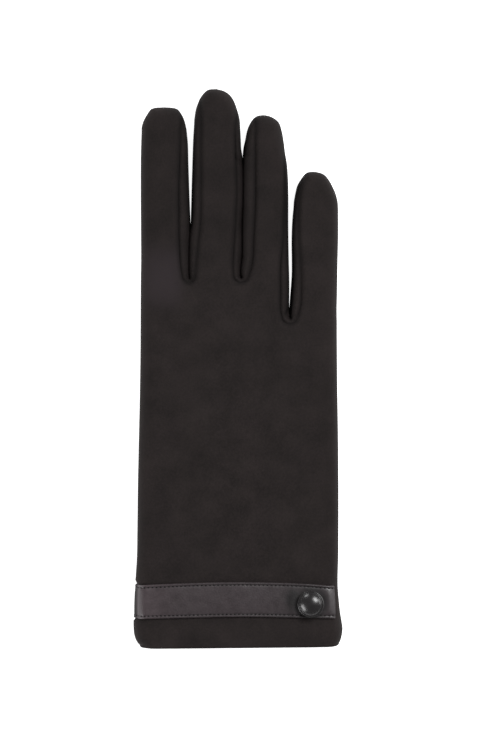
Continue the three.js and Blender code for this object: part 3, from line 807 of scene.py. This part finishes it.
def buttonMesh():
    # x = r cos(a), y = r sin(a), z = h, then tipped about Y
    profile = np.array(button["profile"]) * (button["size"], 1)
    angle = np.linspace(0, 2 * np.pi, button["around"], endpoint=False)
    x, y = profile[:, :1] * np.cos(angle), profile[:, :1] * np.sin(angle)
    z = np.broadcast_to(profile[:, 1:], x.shape)
    c, s = math.cos(math.radians(button["tilt"])), math.sin(math.radians(button["tilt"]))
    points = np.stack([x * c - z * s, y, x * s + z * c], axis=2).reshape(-1, 3)
    return points + (buttonX, buttonY, buttonBox[0][2] - button["sunk"]), ringFaces(*x.shape)


# Materials

def place(tree, kind, values=None, **settings):
    # A new node, its inputs linked to the sockets or set to the values given
    made = tree.nodes.new(kind)
    for name, value in settings.items():
        setattr(made, name, value)
    for key, value in (values or {}).items():
        if isinstance(value, bpy.types.NodeSocket):
            tree.links.new(value, made.inputs[key])
        else:
            made.inputs[key].default_value = value
    return made


def newGroup(name, inputs, outputs):
    # A colour's socket for each tuple given, and a number's socket for each number
    group = bpy.data.node_groups.new(name, "ShaderNodeTree")
    for way, sockets in (("INPUT", inputs), ("OUTPUT", outputs)):
        for title, value in sockets.items():
            kind = "NodeSocketColor" if isinstance(value, tuple) else "NodeSocketFloat"
            group.interface.new_socket(title, in_out=way, socket_type=kind).default_value = value
    return group, group.nodes.new("NodeGroupInput").outputs, group.nodes.new("NodeGroupOutput").inputs


def calc(tree, operation, *values):
    return place(tree, "ShaderNodeMath", dict(enumerate(values)), operation=operation).outputs[0]


def noise(tree, where, scale, detail):
    return place(tree, "ShaderNodeTexNoise", {"Vector": where, "Scale": scale, "Detail": detail}).outputs


def unevenGroup():
    # Colour and roughness that drift over the surface in large patches and small specks
    group, given, result = newGroup("unevenness", {
        "Dark": (0, 0, 0, 1), "Light": (1, 1, 1, 1),
        "Patch": 60.0, "Speck": 900.0, "Smooth": 0.5, "Rough": 0.8,
    }, {"Color": (0, 0, 0, 1), "Roughness": 0.5})
    where = place(group, "ShaderNodeTexCoord").outputs["Object"]
    patch = noise(group, where, given["Patch"], 3.0)["Fac"]
    speck = noise(group, where, given["Speck"], 2.0)["Fac"]
    both = calc(group, "ADD", calc(group, "MULTIPLY", patch, 0.55), calc(group, "MULTIPLY", speck, 0.45))
    spread = {"Value": both, "From Min": 0.34, "From Max": 0.66}
    mask = place(group, "ShaderNodeMapRange", spread).outputs["Result"]
    tones = {"Factor": mask, 6: given["Dark"], 7: given["Light"]}
    colour = place(group, "ShaderNodeMix", tones, data_type="RGBA").outputs[2]
    spread.update({"To Min": given["Smooth"], "To Max": given["Rough"]})
    rough = place(group, "ShaderNodeMapRange", spread).outputs["Result"]
    group.links.new(colour, result["Color"])
    group.links.new(rough, result["Roughness"])
    return group


def knitGroup():
    # Fine knit: rows of small loops, sin(x) times sin(y + |sin(x)|), under a fuzz of noise
    group, given, result = newGroup("fine_knit", {"Pitch": 0.00055, "Fuzz": 0.5}, {"Height": 0.0})
    where = place(group, "ShaderNodeTexCoord").outputs["Object"]
    xyz = place(group, "ShaderNodeSeparateXYZ", {0: where}).outputs
    turns = calc(group, "DIVIDE", 2 * math.pi, given["Pitch"])
    wale = calc(group, "SINE", calc(group, "MULTIPLY", calc(group, "ADD", xyz[0], xyz[2]), turns))
    rise = calc(group, "MULTIPLY", xyz[1], turns)
    loop = calc(group, "SINE", calc(group, "ADD", rise, calc(group, "ABSOLUTE", wale)))
    knit = calc(group, "MULTIPLY_ADD", calc(group, "MULTIPLY", wale, loop), 0.25, 0.5)
    fuzz = calc(group, "MULTIPLY", noise(group, where, 1500.0, 4.0)["Fac"], given["Fuzz"])
    group.links.new(calc(group, "ADD", knit, fuzz), result["Height"])
    return group


def grainGroup():
    # Leather grain: small pebbles from a cell pattern, with fine creases from noise
    group, given, result = newGroup("leather_grain", {"Cell": 1100.0, "Crease": 0.4}, {"Height": 0.0})
    where = place(group, "ShaderNodeTexCoord").outputs["Object"]
    bend = noise(group, where, 500.0, 2.0)["Color"]
    mixed = {"Factor": 0.0012, 4: where, 5: bend}
    bent = place(group, "ShaderNodeMix", mixed, data_type="VECTOR").outputs[1]
    spots = place(group, "ShaderNodeTexVoronoi", {"Vector": bent, "Scale": given["Cell"]})
    crease = calc(group, "MULTIPLY", noise(group, where, 260.0, 5.0)["Fac"], given["Crease"])
    total = calc(group, "ADD", calc(group, "MULTIPLY", spots.outputs["Distance"], -0.6), crease)
    group.links.new(total, result["Height"])
    return group


uneven, knit, grain = unevenGroup(), knitGroup(), grainGroup()


def useGroup(tree, group, values):
    return place(tree, "ShaderNodeGroup", values, node_tree=group).outputs


def newMaterial(name, values):
    material = bpy.data.materials.new(name)
    material.use_nodes = True
    shader = material.node_tree.nodes["Principled BSDF"]
    for key, value in values.items():
        shader.inputs[key].default_value = value
    return material, material.node_tree, shader.inputs


def addBump(tree, inputs, height, strength, distance):
    bump = place(tree, "ShaderNodeBump", {"Height": height, "Strength": strength, "Distance": distance})
    tree.links.new(bump.outputs["Normal"], inputs["Normal"])


clothLook = {
    "dark": (0.0071, 0.0055, 0.0053, 1), "light": (0.015, 0.0118, 0.0115, 1),
    # the tones towards which the painted sheen patch and the painted shade turn the cloth
    "tones": {"paintedSheen": (0.0172, 0.0134, 0.0146, 1), "shade": (0.0012, 0.001, 0.001, 1)},
    "patch": 90.0, "speck": 1300.0, "smooth": 0.78, "rough": 0.92, "specular": 0.09,
    "bumps": (knit, {"Pitch": 0.0006, "Fuzz": 0.7}), "bump": 0.3, "bumpDepth": 0.00012,
}
leatherLook = {
    "dark": (0.024, 0.0172, 0.0193, 1), "light": (0.036, 0.0268, 0.0296, 1),
    # the tone of the band's painted shade, and how much rougher the turned-down part is
    "tones": {"shade": (0.0015, 0.0011, 0.0012, 1)}, "turnedRough": 0.5,
    "patch": 300.0, "speck": 1500.0, "smooth": 0.38, "rough": 0.46, "specular": 0.36,
    "bumps": (grain, {"Cell": 1300.0, "Crease": 0.25}), "bump": 0.26, "bumpDepth": 0.0002,
}
threadLook = {
    **leatherLook, "specular": 0.1247,
    "dark": (0.00288, 0.002064, 0.002316, 1), "light": (0.00432, 0.003216, 0.003552, 1),
}
buttonLook = {
    "dark": (0.0042, 0.0034, 0.0038, 1), "light": (0.0062, 0.0051, 0.0056, 1),
    "patch": 300.0, "speck": 2600.0, "smooth": 0.24, "rough": 0.3, "specular": 0.44,
}


def meshMask(tree, name):
    return place(tree, "ShaderNodeAttribute", attribute_name=name).outputs["Fac"]


def lookMaterial(name, look, masked=False):
    # Drifting colour and roughness, turned by the mesh's masks towards other tones, which paint shade and,
    # on the cloth, a sheen, and the fine relief
    material, tree, inputs = newMaterial(name, {"Specular IOR Level": look["specular"]})
    titles = "Dark", "Light", "Patch", "Speck", "Smooth", "Rough"
    drift = useGroup(tree, uneven, {title: look[title.lower()] for title in titles})
    colour, rough = drift["Color"], drift["Roughness"]
    for mask, tone in look.get("tones", {}).items() if masked else ():
        values = {"Factor": meshMask(tree, mask), 6: colour, 7: tone}
        colour = place(tree, "ShaderNodeMix", values, data_type="RGBA").outputs[2]
    if masked and "turnedRough" in look:
        rough = calc(tree, "MULTIPLY_ADD", meshMask(tree, "turned"), look["turnedRough"], rough)
    tree.links.new(colour, inputs["Base Color"])
    tree.links.new(rough, inputs["Roughness"])
    if "bumps" in look:
        addBump(tree, inputs, useGroup(tree, *look["bumps"])["Height"], look["bump"], look["bumpDepth"])
    return material


clothPaintedShadeSheen = lookMaterial("stretch_cloth_painted_shade_sheen", clothLook, masked=True)
clothPlain = lookMaterial("stretch_cloth", clothLook)
leather = lookMaterial("band_leather", leatherLook, masked=True)
thread = lookMaterial("band_thread", threadLook)
gloss = lookMaterial("button_gloss", buttonLook)
print("materials built")


# Pieces

points, faces, shade = trankMesh()
# A painted sheen: the lighter patch under the index finger, exp(-(dx/8.5)^4 - (dy/12)^4)
patch = np.exp(-((points[:, 0] + 31.6) / 8.5) ** 4 - ((points[:, 1] - 38.5) / 12) ** 4)
trank = makePiece("trank_cloth", points, faces, clothPaintedShadeSheen, "trank", trankShape["wall"],
                  {"shade": shade, "paintedSheen": patch})
print("trank", len(points), "points")

for web, node in enumerate(["fourchette_index_middle", "fourchette_middle_ring", "fourchette_ring_little"]):
    points, faces, shade = stripMesh(web)
    strip = makePiece(node + "_cloth", points, faces, clothPaintedShadeSheen, node, stripShape["wall"],
                      {"shade": shade})
print("strips between the fingers")

points, faces = thumbMesh()
makePiece("thumb_cloth", points, faces, clothPlain, "thumb")
print("thumb")

points, faces, shade = bandMesh()
turned = 1 - ease(*band["turned"], points[:, 0])
strap = makePiece("wrist_band_leather", points, faces, leather, "wrist_band",
                  masks={"shade": shade, "turned": turned})
points, faces = stitchMesh()
makePiece("wrist_band_stitches", points, faces, thread, None)
print("band and its stitches")

points, faces = buttonMesh()
makePiece("button_cap", points, faces, gloss, "button")
print("button")


# Floor, lights and camera

def softLight(name, azimuth, elevation, distance, width, height, power):
    # A soft box that faces the glove from a direction in degrees, azimuth counted from +X towards +Y
    data = bpy.data.lights.new(name, "AREA")
    data.shape, data.size, data.size_y, data.energy = "RECTANGLE", width, height, power
    lamp = bpy.data.objects.new(name, data)
    a, e = math.radians(azimuth), math.radians(elevation)
    lamp.location = Vector((math.cos(a) * math.cos(e), math.sin(a) * math.cos(e), math.sin(e))) * distance
    lamp.rotation_euler = (-lamp.location).to_track_quat("-Z", "Y").to_euler()
    bpy.context.scene.collection.objects.link(lamp)


# azimuth and elevation in degrees, then distance, width and height in metres, and power in watts
studio = {
    "light_above": (42, 48, 2.6, 1.44, 1.0, 87),
    "light_right": (10, 24, 1.0, 0.6, 0.3, 3),
    "light_top_left": (124, 16, 1.1, 0.44, 0.24, 4.0),
    "light_left": (214, 19, 1.0, 0.66, 0.38, 7.5),
}
for name, values in studio.items():
    softLight(name, *values)

floorCorners = [(x, y, -0.0004) for x, y in ((-3, -3), (3, -3), (3, 3), (-3, 3))]
floorMesh = bpy.data.meshes.new("floor")
floorMesh.from_pydata(floorCorners, [], [(0, 1, 2, 3)])
floorLook = newMaterial("pale_floor", {
    "Base Color": (0.6, 0.6, 0.6, 1), "Roughness": 0.9,
    "Emission Color": (1, 1, 1, 1), "Emission Strength": 0.92,
})[0]
floorMesh.materials.append(floorLook)
floor = bpy.data.objects.new("floor", floorMesh)
bpy.context.scene.collection.objects.link(floor)

world = bpy.data.worlds.new("studio")
world.use_nodes = True
sky = world.node_tree.nodes["Background"].inputs
sky["Color"].default_value, sky["Strength"].default_value = (1, 1, 1, 1), 0.4
bpy.context.scene.world = world

lens = bpy.data.cameras.new("camera")
lens.lens, lens.sensor_width, lens.sensor_height, lens.sensor_fit = 120, 36, 36, "AUTO"
lens.clip_start, lens.clip_end = 0.05, 10
camera = bpy.data.objects.new("camera", lens)
camera.location = (0.0053, -0.00275, 1.059)
bpy.context.scene.collection.objects.link(camera)
bpy.context.scene.camera = camera
bpy.context.scene.view_settings.view_transform = "Standard"
print("floor, lights and camera")
